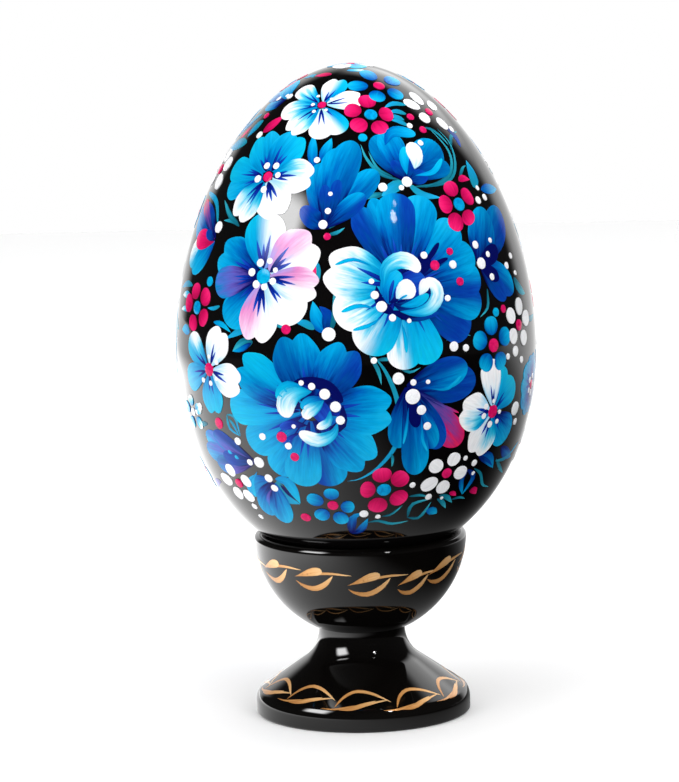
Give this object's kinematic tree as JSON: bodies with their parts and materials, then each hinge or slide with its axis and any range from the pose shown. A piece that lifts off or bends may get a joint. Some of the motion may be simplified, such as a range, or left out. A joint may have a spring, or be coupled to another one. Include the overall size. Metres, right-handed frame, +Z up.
{
  "type": "painted egg on stand",
  "caption": "Turned wooden Easter egg painted with flowers under black gloss lacquer, resting in a turned egg-cup stand from which it lifts out.",
  "frame": {"origin": "centre of the foot's flat underside, on the surface that the stand rests on", "axes": "+Z up along the turning axis of egg and stand, -Y towards the side with the main flowers"},
  "size_m": [0.078, 0.078, 0.142],
  "materials": {
    "egg_lacquer": "black gloss lacquer over turned wood",
    "stand_lacquer": "black gloss lacquer over turned wood",
    "blue_paint": "brushed tempera under gloss lacquer",
    "white_paint": "brushed tempera under gloss lacquer",
    "crimson_paint": "brushed tempera under gloss lacquer",
    "teal_paint": "brushed tempera under gloss lacquer",
    "gold_paint": "brushed gold paint under gloss lacquer"
  },
  "bodies": {
    "stand": {"cup": "stand_lacquer", "foot": "stand_lacquer"},
    "egg": {"egg": "egg_lacquer"}
  },
  "joints": [
    {"name": "egg_lift", "type": "slide", "parent": "stand", "child": "egg", "axis": [0, 0, 1], "range_m": [0, 0.06]}
  ]
}
